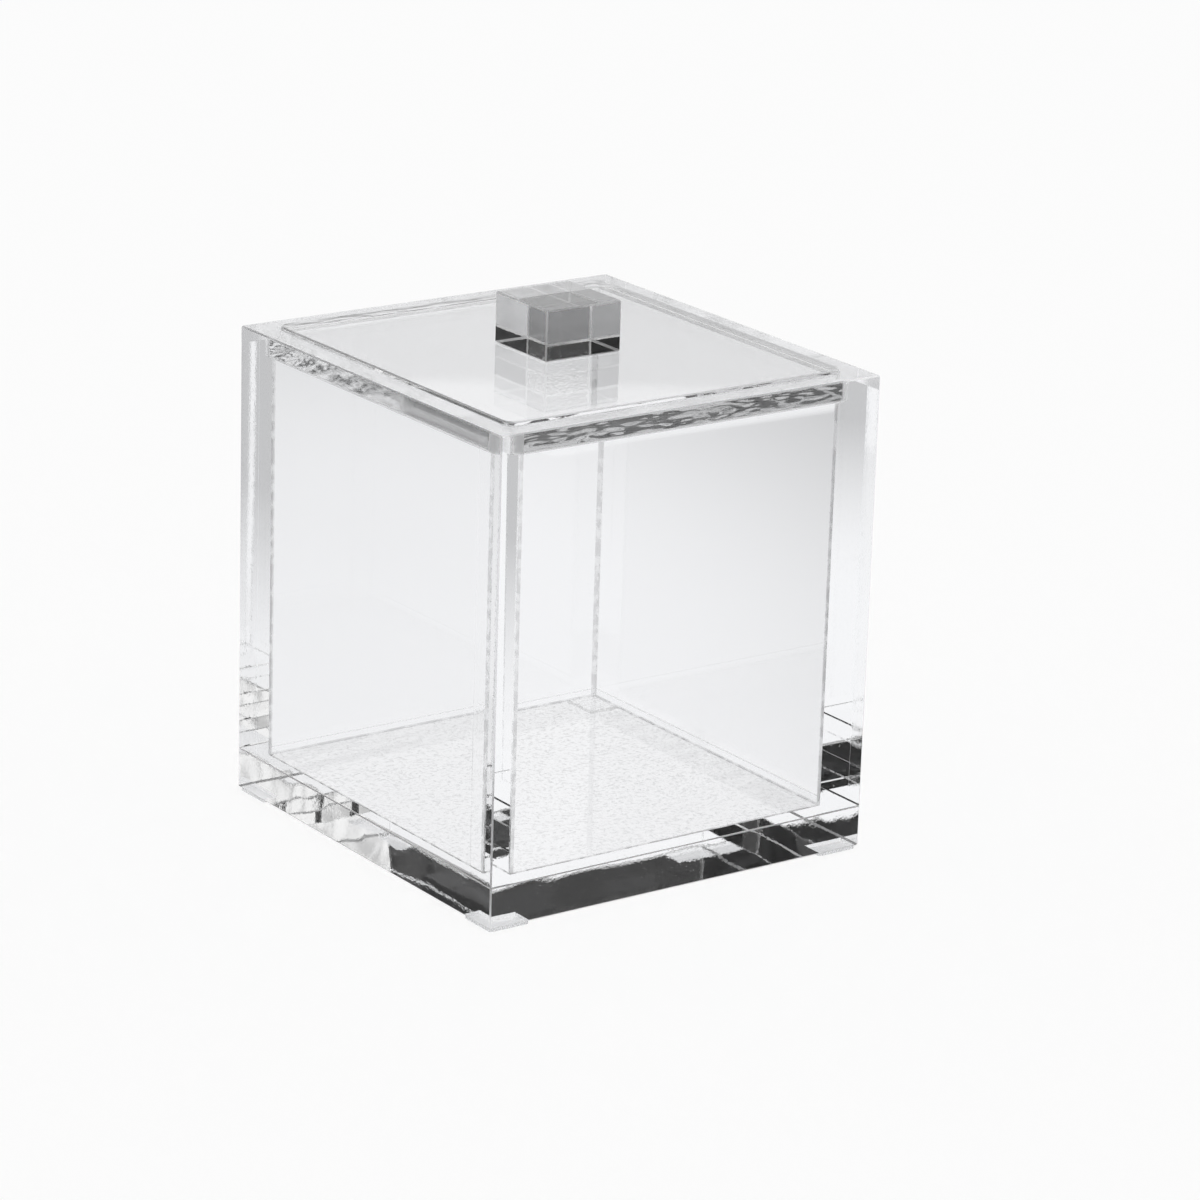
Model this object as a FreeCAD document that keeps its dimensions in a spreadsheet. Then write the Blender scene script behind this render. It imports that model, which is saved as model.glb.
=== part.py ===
import FreeCAD, Part
import math
import os

import Sketcher

# Clear cast acrylic storage box with a lift-off lid and a block knob.
# Frame: millimetres, +Z up, origin on the table under the middle of the box.
# The front wall faces -Y and the left wall faces -X.

DRIVING_SIZES = {
    "box_width": 125.0,
    "box_depth": 130.0,
    "wall_height": 125.0,
    "wall_thickness": 10.0,
    "base_thickness": 12.0,
    "ledge_width": 3.2,
    "rabbet_depth": 7.2,
    "lid_thickness": 8.0,
    "lid_clearance": 0.4,
    "lid_corner_radius": 3.5,
    "seat_gap": 0.1,
    "knob_film": 0.05,
    "knob_side": 25.0,
    "knob_height": 14.5,
    "foot_side": 12.7,
    "foot_thickness": 1.0,
    "foot_corner_radius": 1.0,
    "foot_margin": 0.2,
    "edge_chamfer": 0.4,
}

# Sizes that follow from the driving ones, as expressions on the sheet.
HALF_WIDTH = "Sizes.box_width / 2"
HALF_DEPTH = "Sizes.box_depth / 2"
RIM_THICKNESS = "(Sizes.wall_thickness - Sizes.ledge_width)"
RABBET_RADIUS = "Sizes.lid_corner_radius + Sizes.lid_clearance"
LID_INSET = f"({RIM_THICKNESS} + Sizes.lid_clearance)"
FOOT_INSET = "(Sizes.edge_chamfer + Sizes.foot_margin + Sizes.foot_side / 2)"

# Levels above the table.
BASE_LEVEL = "Sizes.foot_thickness"
WALL_LEVEL = f"({BASE_LEVEL} + Sizes.base_thickness)"
LID_LEVEL = f"({WALL_LEVEL} + Sizes.wall_height - Sizes.rabbet_depth + Sizes.seat_gap)"
KNOB_LEVEL = f"({LID_LEVEL} + Sizes.lid_thickness + Sizes.knob_film)"

UPRIGHT = FreeCAD.Vector(0, 0, 1)
TOLERANCE = 1e-4
BAD_STATES = {"Invalid", "Error"}


def make_sheet(document):
    """The driving sizes, one aliased cell each."""
    sheet = document.addObject("Spreadsheet::Sheet", "Sizes")
    for row, (name, value) in enumerate(DRIVING_SIZES.items(), start=1):
        sheet.set(f"A{row}", name)
        sheet.set(f"B{row}", str(value))
        sheet.setAlias(f"B{row}", name)
    document.recompute()


def make_body(document, label, place, turn=0.0):
    """A named body placed by expressions for x, y and z, turned about +Z by a number of degrees."""
    body = document.addObject("PartDesign::Body", label)
    body.Label = label
    body.Placement = FreeCAD.Placement(FreeCAD.Vector(), FreeCAD.Rotation(UPRIGHT, turn))
    for axis, expression in zip("xyz", place):
        body.setExpression(f"Placement.Base.{axis}", expression)
    return body


def make_sketch(body, name, level="0"):
    """A sketch parallel to the body's own XY plane, raised to a level."""
    sketch = body.newObject("Sketcher::SketchObject", name)
    for feature in body.Origin.OriginFeatures:
        if feature.Role == "XY_Plane":
            sketch.AttachmentSupport = (feature, [""])
    sketch.MapMode = "FlatFace"
    sketch.setExpression("AttachmentOffset.Base.z", level)
    return sketch


def measure(sketch, side):
    """Where a side line lies on its axis: side is (sign, distance), and no distance is the axis."""
    sign, distance = side
    return sign * float(sketch.evalExpression(distance)) if distance else 0.0


def bind(sketch, name, expression, *constraint):
    """Add a named constraint whose value follows an expression."""
    value = float(sketch.evalExpression(expression))
    index = sketch.addConstraint(Sketcher.Constraint(*constraint, value))
    sketch.renameConstraint(index, name)
    sketch.setExpression(f"Constraints.{name}", expression)


def bind_sides(sketch, lines, half_width, low, high):
    """Hold the low, right, high and left lines at their distances from the sketch's origin."""
    low_line, right_line, high_line, left_line = lines
    bind(sketch, "right", half_width, "DistanceX", -1, 1, right_line, 1)
    bind(sketch, "left", half_width, "DistanceX", left_line, 1, -1, 1)
    for name, line, (sign, distance) in (("low", low_line, low), ("high", high_line, high)):
        if distance is None:
            sketch.addConstraint(Sketcher.Constraint("PointOnObject", line, 1, -1))
        elif sign > 0:
            bind(sketch, name, distance, "DistanceY", -1, 1, line, 1)
        else:
            bind(sketch, name, distance, "DistanceY", line, 1, -1, 1)


def draw_rectangle(sketch, half_width, low, high):
    """A sharp rectangle centred on the Y axis. Its lines run low, right, high, left."""
    right = measure(sketch, (1, half_width))
    bottom = measure(sketch, low)
    top = measure(sketch, high)
    corners = [(-right, bottom), (right, bottom), (right, top), (-right, top)]
    points = [FreeCAD.Vector(x, y, 0) for x, y in corners]
    for index, point in enumerate(points):
        sketch.addGeometry(Part.LineSegment(point, points[(index + 1) % 4]))
    for index in range(4):
        sketch.addConstraint(Sketcher.Constraint("Coincident", index, 2, (index + 1) % 4, 1))
        kind = "Vertical" if index % 2 else "Horizontal"
        sketch.addConstraint(Sketcher.Constraint(kind, index))
    bind_sides(sketch, (0, 1, 2, 3), half_width, low, high)


def draw_rounded_rectangle(sketch, half_width, low, high, radius):
    """As draw_rectangle, with four equal corner arcs: lines are even, arcs are odd."""
    corner = measure(sketch, (1, radius))
    right = measure(sketch, (1, half_width)) - corner
    bottom = measure(sketch, low) + corner
    top = measure(sketch, high) - corner
    corners = [(right, bottom), (right, top), (-right, top), (-right, bottom)]
    centres = [FreeCAD.Vector(x, y, 0) for x, y in corners]
    for turn, centre in enumerate(centres):
        angle = (turn - 1) * math.pi / 2
        outward = FreeCAD.Vector(math.cos(angle), math.sin(angle), 0) * corner
        sketch.addGeometry(Part.LineSegment(centres[turn - 1] + outward, centre + outward))
        circle = Part.Circle(centre, UPRIGHT, corner)
        sketch.addGeometry(Part.ArcOfCircle(circle, angle, angle + math.pi / 2))
    for line in range(0, 8, 2):
        arc = line + 1
        sketch.addConstraint(Sketcher.Constraint("Tangent", line, 2, arc, 1))
        sketch.addConstraint(Sketcher.Constraint("Tangent", arc, 2, (line + 2) % 8, 1))
        kind = "Vertical" if line % 4 else "Horizontal"
        sketch.addConstraint(Sketcher.Constraint(kind, line))
    for arc in (3, 5, 7):
        sketch.addConstraint(Sketcher.Constraint("Equal", 1, arc))
    bind(sketch, "corner", radius, "Radius", 1)
    bind_sides(sketch, (0, 2, 4, 6), half_width, low, high)


def pad(body, sketch, thickness):
    """Raise a sketch into a plate and return the feature."""
    feature = body.newObject("PartDesign::Pad", "plate")
    feature.Profile = sketch
    feature.setExpression("Length", thickness)
    body.Document.recompute()
    return feature


def pocket(body, sketch, depth):
    """Cut a sketch downwards into the body."""
    before = body.Shape.Volume
    feature = body.newObject("PartDesign::Pocket", "rabbet_cut")
    feature.Profile = sketch
    feature.setExpression("Length", depth)
    body.Document.recompute()
    if not body.Shape.Volume < before:
        raise RuntimeError(f"the cut in {body.Label} takes nothing away")


def lies_at(edge, axis, level):
    """True for an edge that lies at one level of an axis along its whole length."""
    box = edge.BoundBox
    lowest = getattr(box, axis + "Min")
    highest = getattr(box, axis + "Max")
    return abs(lowest - level) < TOLERANCE and abs(highest - level) < TOLERANCE


def polish_edges(body, keep):
    """Break the edges of a body that pass the test with the small polished chamfer."""
    base = body.Tip
    names = [f"Edge{index}" for index, edge in enumerate(base.Shape.Edges, start=1) if keep(edge)]
    feature = body.newObject("PartDesign::Chamfer", "polished_edges")
    feature.Base = (base, names)
    feature.setExpression("Size", "Sizes.edge_chamfer")
    body.Document.recompute()


def make_base_plate(document):
    """Full-size plate that the four walls stand on, polished on all its edges."""
    body = make_body(document, "base_plate", ("0", "0", BASE_LEVEL))
    sketch = make_sketch(body, "footprint")
    draw_rectangle(sketch, HALF_WIDTH, (-1, HALF_DEPTH), (1, HALF_DEPTH))
    pad(body, sketch, "Sizes.base_thickness")
    polish_edges(body, lambda edge: True)
    return body


def make_wall(document, label, place, turn, half_length, half_across, across, has_corners):
    """A wall plate with the lid's rabbet cut into its top.

    In the wall's own frame X runs along it, Y points into the box from the outer face and
    Z starts at the joint with the base. half_across and across are half the box's size along
    the wall and its whole size across the wall. A wall with corners runs to the box's corners.
    """
    body = make_body(document, label, place, turn)
    footing = make_sketch(body, "footing")
    draw_rectangle(footing, half_length, (1, None), (1, "Sizes.wall_thickness"))
    panel = pad(body, footing, "Sizes.wall_height")
    outline = panel.Shape.BoundBox

    rabbet = make_sketch(body, "rabbet", "Sizes.wall_height")
    near = (1, RIM_THICKNESS)
    far = (1, f"{across} - {RIM_THICKNESS}")
    draw_rounded_rectangle(rabbet, f"{half_across} - {RIM_THICKNESS}", near, far, RABBET_RADIUS)
    pocket(body, rabbet, "Sizes.rabbet_depth")

    def is_outer(edge):
        at_top = lies_at(edge, "Z", outline.ZMax)
        at_face = lies_at(edge, "Y", outline.YMin)
        at_end = lies_at(edge, "X", outline.XMin) or lies_at(edge, "X", outline.XMax)
        if has_corners:
            return at_top + at_face + at_end == 2 and not lies_at(edge, "Z", outline.ZMin)
        return at_top and at_face

    polish_edges(body, is_outer)
    return body


def make_walls(document):
    """Front and back walls over the full width, side walls between them."""
    side_half_length = f"{HALF_DEPTH} - Sizes.wall_thickness"
    wide = (HALF_WIDTH, HALF_WIDTH, "Sizes.box_depth", True)
    narrow = (side_half_length, HALF_DEPTH, "Sizes.box_width", False)
    layout = [
        ("front_wall", ("0", f"-{HALF_DEPTH}", WALL_LEVEL), 0, wide),
        ("back_wall", ("0", HALF_DEPTH, WALL_LEVEL), 180, wide),
        ("left_wall", (f"-{HALF_WIDTH}", "0", WALL_LEVEL), -90, narrow),
        ("right_wall", (HALF_WIDTH, "0", WALL_LEVEL), 90, narrow),
    ]
    return [make_wall(document, label, place, turn, *run) for label, place, turn, run in layout]


def make_lid_plate(document):
    """Rounded plate that drops into the rabbet and stands a little proud of the rim."""
    body = make_body(document, "lid_plate", ("0", "0", LID_LEVEL))
    sketch = make_sketch(body, "outline")
    half_depth = f"{HALF_DEPTH} - {LID_INSET}"
    half_width = f"{HALF_WIDTH} - {LID_INSET}"
    radius = "Sizes.lid_corner_radius"
    draw_rounded_rectangle(sketch, half_width, (-1, half_depth), (1, half_depth), radius)
    plate = pad(body, sketch, "Sizes.lid_thickness")
    faces = (plate.Shape.BoundBox.ZMin, plate.Shape.BoundBox.ZMax)
    polish_edges(body, lambda edge: any(lies_at(edge, "Z", level) for level in faces))
    return body


def make_lid_knob(document):
    """Square block, polished on all its edges, on a thin film of adhesive in the middle of the lid."""
    body = make_body(document, "lid_knob", ("0", "0", KNOB_LEVEL))
    sketch = make_sketch(body, "outline")
    half_side = "Sizes.knob_side / 2"
    draw_rectangle(sketch, half_side, (-1, half_side), (1, half_side))
    pad(body, sketch, "Sizes.knob_height")
    polish_edges(body, lambda edge: True)
    return body


def make_feet(document):
    """Thin square pads stuck under the four corners of the base."""
    feet = []
    half_side = "Sizes.foot_side / 2"
    for along, y_sign in (("front", "-"), ("back", "")):
        for across, x_sign in (("left", "-"), ("right", "")):
            place = (f"{x_sign}({HALF_WIDTH} - {FOOT_INSET})", f"{y_sign}({HALF_DEPTH} - {FOOT_INSET})", "0")
            body = make_body(document, f"foot_{along}_{across}", place)
            sketch = make_sketch(body, "outline")
            sides = ((-1, half_side), (1, half_side))
            draw_rounded_rectangle(sketch, half_side, *sides, "Sizes.foot_corner_radius")
            pad(body, sketch, "Sizes.foot_thickness")
            feet.append(body)
    return feet


def check(document, bodies):
    """Stop if any feature failed or any piece isn't one sound solid."""
    for item in document.Objects:
        if BAD_STATES & set(item.State):
            raise RuntimeError(f"{item.Label} failed: {item.State}")
    for body in bodies:
        shape = body.Shape
        if shape.isNull() or not shape.isValid() or len(shape.Solids) != 1:
            raise RuntimeError(f"{body.Label} is not one valid solid")


def main():
    document = FreeCAD.newDocument("acrylic_box")
    make_sheet(document)
    bodies = [make_base_plate(document)]
    bodies += make_walls(document)
    bodies += make_feet(document)
    bodies += [make_lid_plate(document), make_lid_knob(document)]
    document.recompute()
    check(document, bodies)
    os.makedirs("parts", exist_ok=True)
    for body in bodies:
        body.Shape.exportStep(f"parts/{body.Label}.step")
        print(body.Label, round(body.Shape.Volume, 1))


main()
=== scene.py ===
import math
from collections import namedtuple

import bpy
from mathutils import Matrix, Vector


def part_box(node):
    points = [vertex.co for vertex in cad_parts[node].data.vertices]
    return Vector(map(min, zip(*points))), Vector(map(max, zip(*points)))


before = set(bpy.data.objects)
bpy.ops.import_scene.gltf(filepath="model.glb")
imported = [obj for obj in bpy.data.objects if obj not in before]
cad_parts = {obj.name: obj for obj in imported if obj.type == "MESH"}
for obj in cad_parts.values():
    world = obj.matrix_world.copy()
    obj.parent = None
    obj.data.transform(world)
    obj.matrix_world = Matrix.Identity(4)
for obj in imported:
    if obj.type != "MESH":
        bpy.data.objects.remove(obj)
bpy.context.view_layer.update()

# Clear cast acrylic storage box with a lift-off lid, on a white table.
# Metres, +Z up. The front wall faces -Y and the left wall faces -X.

# The camera stands before the front left corner and looks down on the lid.
CAMERA_AZIMUTH = math.radians(35.71)
CAMERA_ELEVATION = math.radians(17.79)
CAMERA_ROLL = math.radians(1.76)
CAMERA_DISTANCE = 1.339
CAMERA_AIM = Vector((0.0117, -0.0076, 0.0657))
CAMERA_LENS = 143.0
SENSOR_WIDTH = 36.0

# Light passes many faces on its way through thick acrylic.
MOST_BOUNCES = 48
ACRYLIC_IOR = 1.491
PAD_IOR = 1.45

# Where the plates begin and end.
BOX_LOW, BOX_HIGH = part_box("base_plate")
HALF_WIDTH = BOX_HIGH.x
HALF_DEPTH = BOX_HIGH.y
BASE_LEVEL = BOX_LOW.z
SEAM_LEVEL = BOX_HIGH.z
RIM_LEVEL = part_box("front_wall")[1].z
INNER_HALF_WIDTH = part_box("right_wall")[0].x
INNER_HALF_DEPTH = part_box("back_wall")[0].y
LID_LOW, LID_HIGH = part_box("lid_plate")
FOOT_LOW, FOOT_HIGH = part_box("foot_back_right")

END_WALLS = ("front_wall", "back_wall")
SIDE_WALLS = ("left_wall", "right_wall")
FEET = ("foot_front_left", "foot_front_right", "foot_back_left", "foot_back_right")

# The broad faces of a sheet are cast smooth, and the faces across them are sawn and polished.
# The lid's left and right edges are as smooth as its broad faces.
ACROSS_WIDTH = (1.0, 0.0, 0.0)
ACROSS_DEPTH = (0.0, 1.0, 0.0)
FLAT = (0.0, 0.0, 1.0)
FLAT_AND_SIDES = (1.0, 0.0, 1.0)

# The sawn faces of a piece: where its broad faces look, and the scale and depth of the saw's ripple.
SawnFaces = namedtuple("SawnFaces", "sheet_normal ripple_scale ripple_depth")
RIM_RIPPLE = ((60.0, 60.0, 20.0), 0.00008)
BASE_SAWN = SawnFaces(FLAT, (45.0, 45.0, 60.0), 0.0004)
END_WALL_SAWN = SawnFaces(ACROSS_DEPTH, *RIM_RIPPLE)
SIDE_WALL_SAWN = SawnFaces(ACROSS_WIDTH, *RIM_RIPPLE)
LID_SAWN = SawnFaces(FLAT_AND_SIDES, (110.0, 60.0, 420.0), 0.00035)
KNOB_SAWN = SawnFaces(FLAT, (60.0, 60.0, 60.0), 0.00001)
# A face is sawn where it turns away from the sheet's own direction, between these shares of it.
SAWN_TURN = (0.7, 0.3)
GRAIN_SCALE = 1500.0
GRAIN_DEPTH = 0.000008

# The cutter's lines in the lid's step run along each wall.
END_WALL_LINES = (15.0, 1500.0, 1500.0)
SIDE_WALL_LINES = (1500.0, 15.0, 1500.0)
CUTTER_LINE_DEPTH = 0.000008
CUTTER_LINE_ROUGHNESS = 0.2
# The step reaches this far past the lid, under it and round it.
STEP_UNDER_LID = 0.0005
STEP_ROUND_LID = 0.01 * (LID_HIGH.x - LID_LOW.x)

# A scraper takes the sharp edges off: how far the normal of a chamfer leans.
EDGE_CHAMFER = 0.0004
EDGE_LEAN = (0.2, 0.95)
EDGE_ROUGHNESS = 0.45

# Cement in the seams, and the uneven lines of it that are squeezed out into the inner corners.
CEMENT_DEPTH = 0.00003
CORNER_LINE = 0.0012
FLOOR_LINE = 0.0005
LINE_END_UNDER_LID = 0.0002
CEMENT_SCALE = 350.0
CEMENT_NOISE = (0.35, 0.6)
CEMENT_AMOUNT = (0.45, 1.0)
CEMENT_ROUGHNESS = 0.35

# Scuffs on the cavity floor from the things in the box.
SCUFF_SCALE = (900.0, 900.0, 900.0)
SCUFF_NOISE = (0.45, 0.65)
SCUFF_AMOUNT = (0.1, 1.0)
SCUFF_ROUGHNESS = 0.2
SCUFF_DIRT = 0.22

# Hairline scratches in two directions, and specks of dust in a few of many cells.
SCRATCH_TURNS = ((0.3, 0.5, 0.2), (-0.6, 0.2, 0.9))
SCRATCH_STRETCH = (18.0, 900.0, 900.0)
SCRATCH_NOISE = (0.74, 0.80)
SCRATCH_AMOUNT = 0.6
SCRATCH_DEPTH = 0.000004
SPECK_SCALE = 700.0
SPECK_EDGE = (0.16, 0.08)
SPECKLESS_SHARE = 0.82
DUST_AMOUNT = 0.8
MARK_ROUGHNESS = 0.25
MARK_DIRT = 0.15

# Acrylic lets nearly all light through where it is clean, and less where it is dirty.
CLEAN_TONE = 0.99
DIRTY_TONE = 0.55

# The feet are soft and grainy, and their soles are partly wetted by the table.
PAD_GRAIN_SCALE = 1800.0
PAD_GRAIN_DEPTH = 0.00001
PAD_NOISE = (0.3, 0.7)
PAD_ROUGHNESS = (0.12, 0.4)
PAD_TONES = (0.86, 0.76)
PAD_CLING = 0.65

# The table lies this far under the feet, so that their faces don't share its plane.
TABLE_DROP = 0.00005
TABLE_SIZE = 8.0
TABLE_WHITE = 0.97
# The share of plain white that the table shows the camera, over its shadow.
TABLE_GLOW = 0.6
# A long pool of light lies on the table, which the acrylic shows in its greys.
POOL_CENTRE = Vector((0.03, 0.15, 0.0))
POOL_TURN = math.radians(62.0)
POOL_LENGTH = 0.85
POOL_WIDTH = 0.40
POOL_CORE = 0.2
POOL_WHITE = 1.0
POOL_DIM = 0.4
# Behind the box lies a white card, which the lid shows.
CARD_LEFT = (0.190, 0.215)
CARD_FRONT = (0.290, 0.315)
# Further back the table runs up into a white backdrop.
BACKDROP_START = 0.47
BACKDROP_END = 0.60
# To the sides and the front of the box the table is plain white, from one share of the way back to the other.
PLAIN_TABLE = (0.5, 0.1)
# Painted shade on the table: its darker tones where the acrylic turns the light aside, darker towards the
# back, and a painted dark reflection where its outer faces mirror the table.
TURNED_PAINTED_SHADE = 0.6
TURNED_BACK = 0.55
TURNED_FRONT = 1.0
TURNED_SPAN = (-0.1, 0.1)
MIRRORED_PAINTED_SHADE = 0.04
# Painted shade: light that came straight through as many faces as three plates have shows the table painted
# in this grey.
MANY_FACES = 6
DEEP_PAINTED_SHADE = 0.3
# The light is a little cool, which shows in the acrylic's greys.
COOL_WHITE = (0.977, 0.983, 1.0)

# The way that the camera looks across the room, and that way as the end walls turn it back.
ROOM_BACK = Vector((math.sin(CAMERA_AZIMUTH), math.cos(CAMERA_AZIMUTH), 0.0))
ROOM_SIDE = Vector((math.sin(CAMERA_AZIMUTH), -math.cos(CAMERA_AZIMUTH), 0.0))

# What the acrylic shows of the room. Heights are in degrees, and sectors are shares of the way back.
OUTER_SKY = 0.75
ROOM_GREY = 0.04
ROOM_BLACK = 0.005
GREY_SECTOR = (0.4, 0.85)
ROOM_FRONT = 0.6
FRONT_SECTOR = (0.1, -0.2)
FRONT_FOOT = (15.0, 18.0)
HORIZON = (1.0, 9.0)

# Long windows at the back: the least and most faces they show through, their foot, head and tone.
# One shows on the cavity floor through the walls, and one on the lid's underside.
WINDOW_SECTOR = (0.7, 0.85)
BACK_WINDOWS = [
    ((4, MOST_BOUNCES), (15.25, 15.7), (36.0, 32.0), 1.0),
    ((2, 2), (15.1, 15.3), (18.5, 17.0), OUTER_SKY),
]

# Round soft lights: azimuth from +Y towards +X, elevation and half-angle in degrees, brightness.
SOFT_LIGHTS = [
    (151.5, 21.0, 3.7, 1.0),
    (143.0, 23.0, 3.2, 1.0),
    (-45.0, 21.0, 0.8, 1.0),
]
LIGHT_EDGE = 0.7


def feed(tree, socket, value):
    """Link an output to a socket, or set a plain value on it."""
    if isinstance(value, bpy.types.NodeSocket):
        tree.links.new(value, socket)
    else:
        socket.default_value = value


def put(tree, kind, inputs=None, **settings):
    """A new node with its settings, and inputs that are plain values or other nodes' outputs."""
    node = tree.nodes.new(kind)
    for name, value in settings.items():
        setattr(node, name, value)
    for name, value in (inputs or {}).items():
        feed(tree, node.inputs[name], value)
    return node


def calculate(tree, operation, *values):
    """The result of a Math node."""
    inputs = dict(enumerate(values))
    return put(tree, "ShaderNodeMath", inputs, operation=operation).outputs[0]


def calculate_vector(tree, operation, *values):
    """The vector that a Vector Math node gives."""
    inputs = dict(enumerate(values))
    return put(tree, "ShaderNodeVectorMath", inputs, operation=operation).outputs["Vector"]


def measure(tree, operation, *vectors):
    """The number that a Vector Math node gives, such as a length or a dot product."""
    inputs = dict(enumerate(vectors))
    return put(tree, "ShaderNodeVectorMath", inputs, operation=operation).outputs["Value"]


def split(tree, vector):
    """The X, Y and Z of a vector."""
    return put(tree, "ShaderNodeSeparateXYZ", {0: vector}).outputs


def blend(tree, share, first, second):
    """A value between two others."""
    return put(tree, "ShaderNodeMix", {0: share, 2: first, 3: second}).outputs[0]


def remap(tree, value, from_low, from_high, to_low=0.0, to_high=1.0):
    """A smooth step from one range of values to another."""
    inputs = {
        "Value": value,
        "From Min": from_low,
        "From Max": from_high,
        "To Min": to_low,
        "To Max": to_high,
    }
    node = put(tree, "ShaderNodeMapRange", inputs, interpolation_type="SMOOTHSTEP")
    return node.outputs["Result"]


def shade(tree, share, first, second):
    """A neutral colour between two greys."""
    inputs = {0: share, 6: (first, first, first, 1.0), 7: (second, second, second, 1.0)}
    return put(tree, "ShaderNodeMix", inputs, data_type="RGBA").outputs[2]


def noise(tree, place, scale=1.0, detail=1.0):
    """A soft noise between 0 and 1."""
    inputs = {"Vector": place, "Scale": scale, "Detail": detail}
    return put(tree, "ShaderNodeTexNoise", inputs).outputs[0]


def combine(tree, operation, masks):
    """Masks times their amounts, taken together by a Math operation."""
    result = 0.0
    for mask, amount in masks:
        result = calculate(tree, operation, result, calculate(tree, "MULTIPLY", mask, amount))
    return result


def start_group(name, inputs, outputs):
    """A shader node group with named sockets: its tree, its inputs and its output node."""
    tree = bpy.data.node_groups.new(name, "ShaderNodeTree")
    for socket_name, socket_type in inputs:
        tree.interface.new_socket(socket_name, in_out="INPUT", socket_type=socket_type)
    for socket_name, socket_type in outputs:
        tree.interface.new_socket(socket_name, in_out="OUTPUT", socket_type=socket_type)
    entry = tree.nodes.new("NodeGroupInput")
    exit_node = tree.nodes.new("NodeGroupOutput")
    return tree, entry.outputs, exit_node


def place_group(tree, group, **inputs):
    """A group placed in a material with its own values."""
    node = tree.nodes.new("ShaderNodeGroup")
    node.node_tree = group
    for name, value in inputs.items():
        feed(tree, node.inputs[name.replace("_", " ").capitalize()], value)
    return node.outputs


def make_cement_group():
    """1 where a face lies in a cemented layer: a box between two corners, mirrored in X and Y."""
    inputs = [("Low", "NodeSocketVector"), ("High", "NodeSocketVector")]
    outputs = [("Joined", "NodeSocketFloat")]
    tree, given, exit_node = start_group("cement layer", inputs, outputs)
    x, y, z = split(tree, put(tree, "ShaderNodeTexCoord").outputs["Object"])
    sides = (calculate(tree, "ABSOLUTE", x), calculate(tree, "ABSOLUTE", y), z)
    low = split(tree, given["Low"])
    high = split(tree, given["High"])
    joined = 1.0
    for axis, side in enumerate(sides):
        above = calculate(tree, "GREATER_THAN", side, low[axis])
        below = calculate(tree, "LESS_THAN", side, high[axis])
        joined = calculate(tree, "MULTIPLY", joined, calculate(tree, "MULTIPLY", above, below))
    feed(tree, exit_node.inputs["Joined"], joined)
    return tree


def make_polished_cut_group():
    """The ripple and the fine grain that sawing and polishing leave on the cut faces of a sheet."""
    inputs = [("Sheet normal", "NodeSocketVector"), ("Ripple scale", "NodeSocketVector")]
    outputs = [("Ripple", "NodeSocketFloat"), ("Grain", "NodeSocketFloat")]
    tree, given, exit_node = start_group("polished cut", inputs, outputs)
    coordinates = put(tree, "ShaderNodeTexCoord").outputs
    along_sheet = measure(tree, "DOT_PRODUCT", coordinates["Normal"], given["Sheet normal"])
    cut = remap(tree, calculate(tree, "ABSOLUTE", along_sheet), *SAWN_TURN)
    stretched = calculate_vector(tree, "MULTIPLY", coordinates["Object"], given["Ripple scale"])
    ripple = calculate(tree, "MULTIPLY", noise(tree, stretched), cut)
    grain = calculate(tree, "MULTIPLY", noise(tree, coordinates["Object"], GRAIN_SCALE), cut)
    feed(tree, exit_node.inputs["Ripple"], ripple)
    feed(tree, exit_node.inputs["Grain"], grain)
    return tree


def make_scraped_edge_group():
    """1 on the narrow chamfers along the edges: on the level ones, and on the upright ones by a share."""
    inputs = [("Upright share", "NodeSocketFloat")]
    outputs = [("Edge", "NodeSocketFloat")]
    tree, given, exit_node = start_group("scraped edge", inputs, outputs)
    normal = put(tree, "ShaderNodeTexCoord").outputs["Normal"]
    across, along, up = split(tree, calculate_vector(tree, "ABSOLUTE", normal))
    least, most = EDGE_LEAN
    tilted = calculate(tree, "GREATER_THAN", up, least)
    level_edge = calculate(tree, "MULTIPLY", tilted, calculate(tree, "LESS_THAN", up, most))
    turned = calculate(tree, "GREATER_THAN", calculate(tree, "MINIMUM", across, along), least)
    upright_edge = calculate(tree, "MULTIPLY", turned, given["Upright share"])
    feed(tree, exit_node.inputs["Edge"], calculate(tree, "MAXIMUM", level_edge, upright_edge))
    return tree


def make_handling_group():
    """Hairline scratches and specks of dust from handling: a mask that is mostly 0."""
    inputs = [("Scratch amount", "NodeSocketFloat"), ("Dust amount", "NodeSocketFloat")]
    outputs = [("Marks", "NodeSocketFloat")]
    tree, given, exit_node = start_group("handling marks", inputs, outputs)
    place = put(tree, "ShaderNodeTexCoord").outputs["Object"]
    marks = []
    for turn in SCRATCH_TURNS:
        turned = put(
            tree, "ShaderNodeVectorRotate", {"Vector": place, "Rotation": turn},
            rotation_type="EULER_XYZ")
        stretched = calculate_vector(tree, "MULTIPLY", turned.outputs[0], SCRATCH_STRETCH)
        scratch = remap(tree, noise(tree, stretched, detail=2.0), *SCRATCH_NOISE)
        marks.append((scratch, given["Scratch amount"]))
    cells = put(tree, "ShaderNodeTexVoronoi", {"Vector": place, "Scale": SPECK_SCALE}).outputs
    speck = remap(tree, cells["Distance"], *SPECK_EDGE)
    cell_value = put(tree, "ShaderNodeSeparateColor", {0: cells["Color"]}).outputs[0]
    rare = calculate(tree, "GREATER_THAN", cell_value, SPECKLESS_SHARE)
    marks.append((calculate(tree, "MULTIPLY", speck, rare), given["Dust amount"]))
    feed(tree, exit_node.inputs["Marks"], combine(tree, "MAXIMUM", marks))
    return tree


def make_milled_group():
    """The fine lines of a milling cutter, stretched along its way."""
    inputs = [("Line scale", "NodeSocketVector")]
    outputs = [("Lines", "NodeSocketFloat")]
    tree, given, exit_node = start_group("milled face", inputs, outputs)
    place = put(tree, "ShaderNodeTexCoord").outputs["Object"]
    stretched = calculate_vector(tree, "MULTIPLY", place, given["Line scale"])
    feed(tree, exit_node.inputs["Lines"], noise(tree, stretched, detail=2.0))
    return tree


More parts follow.
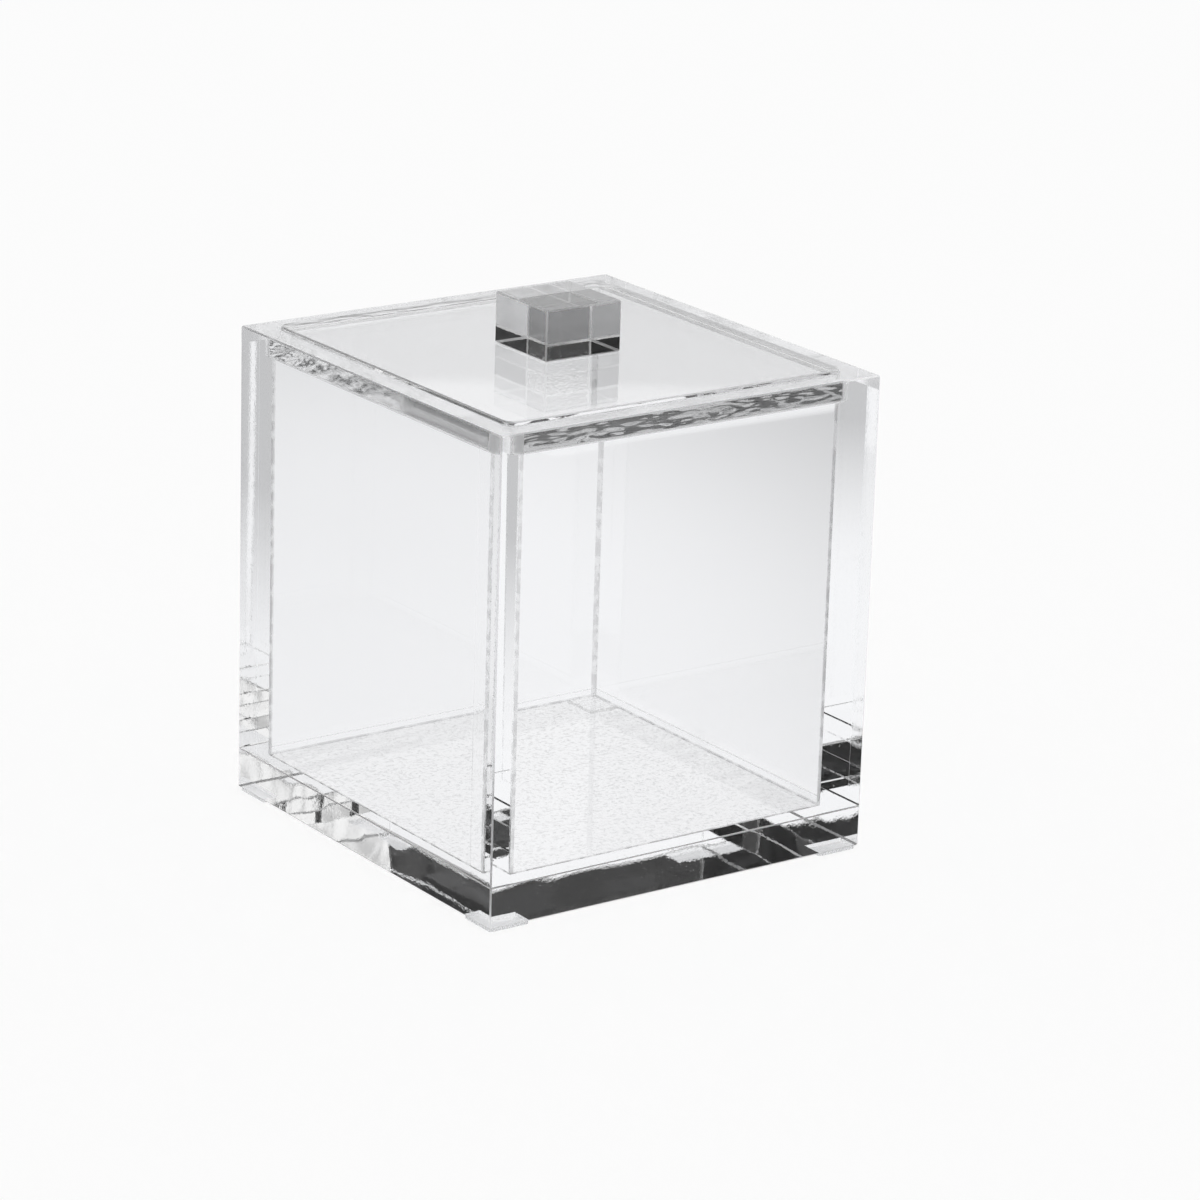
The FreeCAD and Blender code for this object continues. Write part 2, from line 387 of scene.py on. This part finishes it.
def in_layers(tree, groups, layers):
    """1 inside any of the given boxes and 0 elsewhere."""
    inside = 0.0
    for low, high in layers:
        layer = place_group(tree, groups["cement"], low=low, high=high)["Joined"]
        inside = calculate(tree, "MAXIMUM", inside, layer)
    return inside


def flat_layer(x_range, y_range, level):
    """A thin layer that lies flat at one level."""
    low = (x_range[0], y_range[0], level - CEMENT_DEPTH)
    high = (x_range[1], y_range[1], level + CEMENT_DEPTH)
    return low, high


def base_seams():
    """The layer between base and walls, up to the base's chamfer."""
    across = (-CEMENT_DEPTH, HALF_WIDTH - EDGE_CHAMFER)
    along = (-CEMENT_DEPTH, HALF_DEPTH - EDGE_CHAMFER)
    at_sides = flat_layer((INNER_HALF_WIDTH, across[1]), along, SEAM_LEVEL)
    at_ends = flat_layer(across, (INNER_HALF_DEPTH, along[1]), SEAM_LEVEL)
    return [at_sides, at_ends]


def corner_seam():
    """The upright layer between the side walls and the front and back walls."""
    low = (INNER_HALF_WIDTH, INNER_HALF_DEPTH - CEMENT_DEPTH, SEAM_LEVEL)
    high = (HALF_WIDTH + CEMENT_DEPTH, INNER_HALF_DEPTH + CEMENT_DEPTH, RIM_LEVEL)
    return low, high


def under_feet(level):
    """A layer as wide as the feet, at one level."""
    return flat_layer((FOOT_LOW.x, FOOT_HIGH.x), (FOOT_LOW.y, FOOT_HIGH.y), level)


def foot_seam():
    """The sticky layer between base and feet."""
    return under_feet(BASE_LEVEL)


def foot_sole():
    """The underside of the feet, which clings to the table."""
    return under_feet(0.0)


def inner_cement_lines():
    """The thin lines of squeezed-out cement in the inner corners of the box."""
    floor = SEAM_LEVEL - CEMENT_DEPTH
    floor_top = SEAM_LEVEL + FLOOR_LINE
    ledge = LID_LOW.z - LINE_END_UNDER_LID
    width = INNER_HALF_WIDTH + CEMENT_DEPTH
    depth = INNER_HALF_DEPTH + CEMENT_DEPTH
    at_corners = ((width - CORNER_LINE, depth - CORNER_LINE, floor), (width, depth, ledge))
    at_sides = ((width - FLOOR_LINE, -CEMENT_DEPTH, floor), (width, depth, floor_top))
    at_ends = ((-CEMENT_DEPTH, depth - FLOOR_LINE, floor), (width, depth, floor_top))
    return [at_corners, at_sides, at_ends]


def rabbet():
    """The milled step that the lid lies in."""
    low = (-CEMENT_DEPTH, -CEMENT_DEPTH, LID_LOW.z - STEP_UNDER_LID)
    high = (LID_HIGH.x + STEP_ROUND_LID, LID_HIGH.y + STEP_ROUND_LID, RIM_LEVEL - CEMENT_DEPTH)
    return low, high


def rim():
    """The top of the walls."""
    return flat_layer((-CEMENT_DEPTH, HALF_WIDTH), (-CEMENT_DEPTH, HALF_DEPTH), RIM_LEVEL)


def cavity_floor():
    """The top of the base inside the walls."""
    across = (-CEMENT_DEPTH, INNER_HALF_WIDTH)
    along = (-CEMENT_DEPTH, INNER_HALF_DEPTH)
    return flat_layer(across, along, SEAM_LEVEL)


def start_clear(name, ior):
    """A new see-through material: the material, its tree and its shader."""
    material = bpy.data.materials.new(name)
    material.use_nodes = True
    tree = material.node_tree
    shader = tree.nodes["Principled BSDF"]
    shader.inputs["IOR"].default_value = ior
    shader.inputs["Transmission Weight"].default_value = 1.0
    return material, tree, shader


def uneven_cement(tree, groups):
    """How much squeezed-out cement lies in the inner corners, thicker and thinner along its lines."""
    place = put(tree, "ShaderNodeTexCoord").outputs["Object"]
    amount = remap(tree, noise(tree, place, CEMENT_SCALE, detail=2.0), *CEMENT_NOISE, *CEMENT_AMOUNT)
    return calculate(tree, "MULTIPLY", amount, in_layers(tree, groups, inner_cement_lines()))


def scuffed_floor(tree, groups):
    """How scuffed the cavity floor is by the things in the box: it shows only from above."""
    geometry = put(tree, "ShaderNodeNewGeometry").outputs
    from_above = calculate(tree, "SUBTRACT", 1.0, geometry["Backfacing"])
    grain = place_group(tree, groups["milled"], line_scale=SCUFF_SCALE)["Lines"]
    scuffs = remap(tree, grain, *SCUFF_NOISE, *SCUFF_AMOUNT)
    on_floor = in_layers(tree, groups, [cavity_floor()])
    return calculate(tree, "MULTIPLY", scuffs, calculate(tree, "MULTIPLY", on_floor, from_above))


def cutter_lines(tree, groups, line_scale):
    """The cutter's lines in the lid's step and on the rim."""
    lines = place_group(tree, groups["milled"], line_scale=line_scale)["Lines"]
    return calculate(tree, "MULTIPLY", lines, in_layers(tree, groups, [rabbet(), rim()]))


def make_acrylic(
        name, groups, sawn, seams=(), cemented=False, scuffed=False, line_scale=None, upright_share=1.0):
    """Clear acrylic with cast or polished faces, scraped edges and hairline scratches, open in its seams.

    A cemented piece has lines of cement in its inner corners, a scuffed one a worn floor, and one with
    a line scale has the cutter's lines in the lid's step and on the rim.
    """
    material, tree, shader = start_clear(name, ACRYLIC_IOR)
    cut = place_group(
        tree, groups["cut"], sheet_normal=sawn.sheet_normal, ripple_scale=sawn.ripple_scale)
    marks = place_group(
        tree, groups["handling"], scratch_amount=SCRATCH_AMOUNT, dust_amount=DUST_AMOUNT)["Marks"]
    edge = place_group(tree, groups["edge"], upright_share=upright_share)["Edge"]
    heights = [
        (cut["Ripple"], sawn.ripple_depth),
        (cut["Grain"], GRAIN_DEPTH),
        (marks, -SCRATCH_DEPTH),
    ]
    rough = [(marks, MARK_ROUGHNESS), (edge, EDGE_ROUGHNESS)]
    dirty = [(marks, MARK_DIRT)]
    if cemented:
        cement = uneven_cement(tree, groups)
        rough.append((cement, CEMENT_ROUGHNESS))
        dirty.append((cement, 1.0))
    if scuffed:
        scuffs = scuffed_floor(tree, groups)
        rough.append((scuffs, SCUFF_ROUGHNESS))
        dirty.append((scuffs, SCUFF_DIRT))
    if line_scale:
        lines = cutter_lines(tree, groups, line_scale)
        heights.append((lines, CUTTER_LINE_DEPTH))
        rough.append((lines, CUTTER_LINE_ROUGHNESS))
    dirt = combine(tree, "MAXIMUM", dirty)
    feed(tree, shader.inputs["Base Color"], shade(tree, dirt, CLEAN_TONE, DIRTY_TONE))
    feed(tree, shader.inputs["Roughness"], combine(tree, "MAXIMUM", rough))
    bump = put(tree, "ShaderNodeBump", {"Distance": 1.0, "Height": combine(tree, "ADD", heights)})
    feed(tree, shader.inputs["Normal"], bump.outputs[0])
    if seams:
        closed = calculate(tree, "SUBTRACT", 1.0, in_layers(tree, groups, seams))
        feed(tree, shader.inputs["Alpha"], closed)
    return material


def make_pad(name, groups):
    """Soft clear polyurethane with a grainy cut side, stuck to the base and clinging to the table."""
    material, tree, shader = start_clear(name, PAD_IOR)
    place = put(tree, "ShaderNodeTexCoord").outputs["Object"]
    grain = noise(tree, place, PAD_GRAIN_SCALE, detail=2.0)
    feed(tree, shader.inputs["Roughness"], remap(tree, grain, *PAD_NOISE, *PAD_ROUGHNESS))
    feed(tree, shader.inputs["Base Color"], shade(tree, grain, *PAD_TONES))
    bump = put(tree, "ShaderNodeBump", {"Distance": PAD_GRAIN_DEPTH, "Height": grain})
    feed(tree, shader.inputs["Normal"], bump.outputs[0])
    stuck = in_layers(tree, groups, [foot_seam()])
    clinging = in_layers(tree, groups, [foot_sole()])
    open_share = combine(tree, "MAXIMUM", [(stuck, 1.0), (clinging, PAD_CLING)])
    feed(tree, shader.inputs["Alpha"], calculate(tree, "SUBTRACT", 1.0, open_share))
    return material


def dress(node, material):
    """Give a node its finish."""
    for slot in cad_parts[node].material_slots:
        slot.material = material


def dress_base(groups):
    """The base is cemented to the walls and stuck to the feet."""
    seams = base_seams() + [foot_seam()]
    material = make_acrylic("base acrylic", groups, BASE_SAWN, seams, cemented=True, scuffed=True)
    dress("base_plate", material)


def dress_walls(groups):
    """The walls are cemented to the base and at the corners, and milled along their tops."""
    seams = base_seams() + [corner_seam()]
    runs = [
        ("end wall acrylic", END_WALLS, END_WALL_SAWN, END_WALL_LINES),
        ("side wall acrylic", SIDE_WALLS, SIDE_WALL_SAWN, SIDE_WALL_LINES),
    ]
    for name, walls, sawn, line_scale in runs:
        material = make_acrylic(name, groups, sawn, seams, cemented=True, line_scale=line_scale)
        for wall in walls:
            dress(wall, material)


def dress_lid(groups):
    """The lid's upright corners are round and polished, so they have no scraped edge."""
    dress("lid_plate", make_acrylic("lid acrylic", groups, LID_SAWN, upright_share=0.0))
    dress("lid_knob", make_acrylic("knob acrylic", groups, KNOB_SAWN))


def dress_feet(groups):
    """All four feet are of one material."""
    pad = make_pad("foot pad", groups)
    for name in FEET:
        dress(name, pad)


def dress_all():
    """Build the shared effects once, and dress every piece."""
    groups = {
        "cement": make_cement_group(),
        "cut": make_polished_cut_group(),
        "edge": make_scraped_edge_group(),
        "handling": make_handling_group(),
        "milled": make_milled_group(),
    }
    dress_base(groups)
    dress_walls(groups)
    dress_lid(groups)
    dress_feet(groups)


def pointing(azimuth, elevation):
    """The direction at an azimuth from +Y towards +X and an elevation."""
    level = math.cos(elevation)
    return Vector((math.sin(azimuth) * level, math.cos(azimuth) * level, math.sin(elevation)))


def add_camera():
    """A long lens with a slight tilt, aimed past the middle of the box."""
    look = pointing(CAMERA_AZIMUTH, -CAMERA_ELEVATION)
    right = Vector((math.cos(CAMERA_AZIMUTH), -math.sin(CAMERA_AZIMUTH), 0.0))
    upright = Matrix((right, right.cross(look), -look)).transposed()
    turn = upright @ Matrix.Rotation(CAMERA_ROLL, 3, "Z")
    data = bpy.data.cameras.new("camera")
    data.lens = CAMERA_LENS
    data.sensor_width = SENSOR_WIDTH
    camera = bpy.data.objects.new("camera", data)
    camera.matrix_world = Matrix.Translation(CAMERA_AIM - CAMERA_DISTANCE * look) @ turn.to_4x4()
    bpy.context.scene.collection.objects.link(camera)
    bpy.context.scene.camera = camera


def passed(tree, kind, least, most=MOST_BOUNCES):
    """1 for light that was passed on from least to most times in one way, such as Transmission or Glossy."""
    depth = put(tree, "ShaderNodeLightPath").outputs[kind + " Depth"]
    enough = calculate(tree, "GREATER_THAN", depth, least - 0.5)
    few_enough = calculate(tree, "LESS_THAN", depth, most + 0.5)
    return calculate(tree, "MULTIPLY", enough, few_enough)


def seen_in_glass(tree):
    """1 for rays that the acrylic bends or mirrors towards the camera, before they meet anything dull."""
    path = put(tree, "ShaderNodeLightPath").outputs
    bent = calculate(tree, "MAXIMUM", path["Is Transmission Ray"], path["Is Glossy Ray"])
    return calculate(tree, "MULTIPLY", bent, passed(tree, "Diffuse", 0, 0))


def seen_through(tree, faces=1):
    """1 for rays that came through so many faces, and 0 for those that the outer faces mirror."""
    return passed(tree, "Transmission", faces)


def cooled(tree, tone):
    """A tone in the light's cool white."""
    inputs = {0: COOL_WHITE, "Scale": tone}
    return put(tree, "ShaderNodeVectorMath", inputs, operation="SCALE").outputs["Vector"]


def light_pool(tree, spot):
    """How bright the table is behind the box: white in the pool of light, on the card and far back."""
    shifted = calculate_vector(tree, "SUBTRACT", spot, POOL_CENTRE)
    inputs = {"Vector": shifted, "Angle": -POOL_TURN}
    turned = put(tree, "ShaderNodeVectorRotate", inputs, rotation_type="Z_AXIS").outputs[0]
    scaled = calculate_vector(tree, "MULTIPLY", turned, (1 / POOL_LENGTH, 1 / POOL_WIDTH, 0.0))
    pool = remap(tree, measure(tree, "LENGTH", scaled), POOL_CORE, 1.0, POOL_WHITE, POOL_DIM)
    across, along = split(tree, spot)[:2]
    card = calculate(tree, "MULTIPLY", remap(tree, across, *CARD_LEFT), remap(tree, along, *CARD_FRONT))
    far_back = measure(tree, "DOT_PRODUCT", spot, ROOM_BACK)
    backdrop = remap(tree, far_back, BACKDROP_START, BACKDROP_END)
    return calculate(tree, "MAXIMUM", pool, calculate(tree, "MAXIMUM", card, backdrop))


def painted_table_tone(tree):
    """The painted light and shade that the table shows in the acrylic: straight through, turned aside inside
    it or off its outer faces.
    """
    spot = put(tree, "ShaderNodeNewGeometry").outputs["Position"]
    turned = passed(tree, "Glossy", 1)
    pool = light_pool(tree, spot)
    way_back = measure(tree, "DOT_PRODUCT", calculate_vector(tree, "NORMALIZE", spot), ROOM_BACK)
    around = remap(tree, way_back, *PLAIN_TABLE, 0.0, TABLE_WHITE)
    straight = calculate(tree, "MAXIMUM", pool, around)
    # Painted shade: the table is painted darker where the acrylic turns the light aside, and darker towards
    # the back.
    few_faces = blend(tree, turned, straight, calculate(tree, "MAXIMUM", pool, TURNED_PAINTED_SHADE))
    to_side = measure(tree, "DOT_PRODUCT", spot, ROOM_SIDE)
    turned_shade_tone = remap(tree, to_side, *TURNED_SPAN, TURNED_BACK, TURNED_FRONT)
    many_faces = blend(tree, turned, DEEP_PAINTED_SHADE, turned_shade_tone)
    tone = blend(tree, seen_through(tree, MANY_FACES), few_faces, many_faces)
    # Painted reflection: the outer faces show the table in a painted dark grey.
    return blend(tree, seen_through(tree), MIRRORED_PAINTED_SHADE, tone)


def make_table_white():
    """Dull white with the box's shadow, which shows the acrylic its own painted tones of light and shade."""
    material = bpy.data.materials.new("table white")
    material.use_nodes = True
    tree = material.node_tree
    white = (TABLE_WHITE, TABLE_WHITE, TABLE_WHITE, 1.0)
    dull = tree.nodes["Principled BSDF"]
    dull.inputs["Base Color"].default_value = white
    dull.inputs["Roughness"].default_value = 1.0
    dull.inputs["Specular IOR Level"].default_value = 0.0
    path = put(tree, "ShaderNodeLightPath").outputs
    glow_share = calculate(tree, "MULTIPLY", path["Is Camera Ray"], TABLE_GLOW)
    glow = put(tree, "ShaderNodeEmission", {"Color": white})
    plain = put(tree, "ShaderNodeMixShader", {0: glow_share, 1: dull.outputs[0], 2: glow.outputs[0]})
    # Painted light and shade: the table glows in painted tones where the acrylic shows it.
    tones = put(tree, "ShaderNodeEmission", {"Color": cooled(tree, painted_table_tone(tree))})
    inputs = {0: seen_in_glass(tree), 1: plain.outputs[0], 2: tones.outputs[0]}
    surface = put(tree, "ShaderNodeMixShader", inputs)
    feed(tree, tree.nodes["Material Output"].inputs["Surface"], surface.outputs[0])
    return material


def add_table():
    """The white table that the box stands on."""
    half = TABLE_SIZE / 2
    outline = ((-half, -half), (half, -half), (half, half), (-half, half))
    mesh = bpy.data.meshes.new("table")
    mesh.from_pydata([(x, y, -TABLE_DROP) for x, y in outline], [], [(0, 1, 2, 3)])
    mesh.materials.append(make_table_white())
    table = bpy.data.objects.new("table", mesh)
    bpy.context.scene.collection.objects.link(table)


def climb(tree, height, angles):
    """A smooth step in height from one elevation in degrees to another."""
    first, last = (math.sin(math.radians(angle)) for angle in angles)
    return remap(tree, height, first, last)


def soft_light(tree, direction, azimuth, elevation, half_angle, brightness):
    """A round light with a soft edge."""
    aim = pointing(math.radians(azimuth), math.radians(elevation))
    outer = math.cos(math.radians(half_angle + LIGHT_EDGE))
    inner = math.cos(math.radians(half_angle))
    facing = measure(tree, "DOT_PRODUCT", direction, aim)
    return remap(tree, facing, outer, inner, 0.0, brightness)


def back_window(tree, way_back, height, faces, foot, head, tone):
    """A long window at the back, which one mirroring face shows behind so many faces."""
    shares = [
        passed(tree, "Glossy", 0, 1),
        passed(tree, "Transmission", *faces),
        remap(tree, way_back, *WINDOW_SECTOR),
        climb(tree, height, foot),
        climb(tree, height, head),
    ]
    for share in shares:
        tone = calculate(tree, "MULTIPLY", share, tone)
    return tone


def room_tone(tree, direction, height):
    """The dark room with its lighter front, its soft lights and its windows."""
    way_back = measure(tree, "DOT_PRODUCT", direction, ROOM_BACK)
    front = remap(tree, way_back, *FRONT_SECTOR, 0.0, ROOM_FRONT)
    tones = [calculate(tree, "MULTIPLY", front, climb(tree, height, FRONT_FOOT))]
    for light in SOFT_LIGHTS:
        tones.append(soft_light(tree, direction, *light))
    for window in BACK_WINDOWS:
        tones.append(back_window(tree, way_back, height, *window))
    lightest = remap(tree, way_back, *GREY_SECTOR, ROOM_BLACK, ROOM_GREY)
    for tone in tones:
        lightest = calculate(tree, "MAXIMUM", lightest, tone)
    return lightest


def add_room():
    """Plain white light, with the darker room above the horizon where it shows through the acrylic."""
    world = bpy.data.worlds.new("room")
    bpy.context.scene.world = world
    world.use_nodes = True
    tree = world.node_tree
    direction = put(tree, "ShaderNodeTexCoord").outputs["Generated"]
    height = split(tree, direction)["Z"]
    inside = blend(tree, climb(tree, height, HORIZON), 1.0, room_tone(tree, direction, height))
    shown = blend(tree, seen_through(tree), OUTER_SKY, inside)
    feed(tree, tree.nodes["Background"].inputs["Color"], blend(tree, seen_in_glass(tree), 1.0, shown))


def set_light_paths():
    """Let light pass all the faces, and keep what the polished ones show sharp."""
    cycles = bpy.context.scene.cycles
    cycles.blur_glossy = 0.0
    cycles.max_bounces = MOST_BOUNCES
    cycles.glossy_bounces = MOST_BOUNCES
    cycles.transmission_bounces = MOST_BOUNCES
    cycles.transparent_max_bounces = MOST_BOUNCES


dress_all()
add_camera()
add_table()
add_room()
set_light_paths()
bpy.context.scene.view_settings.view_transform = "Standard"
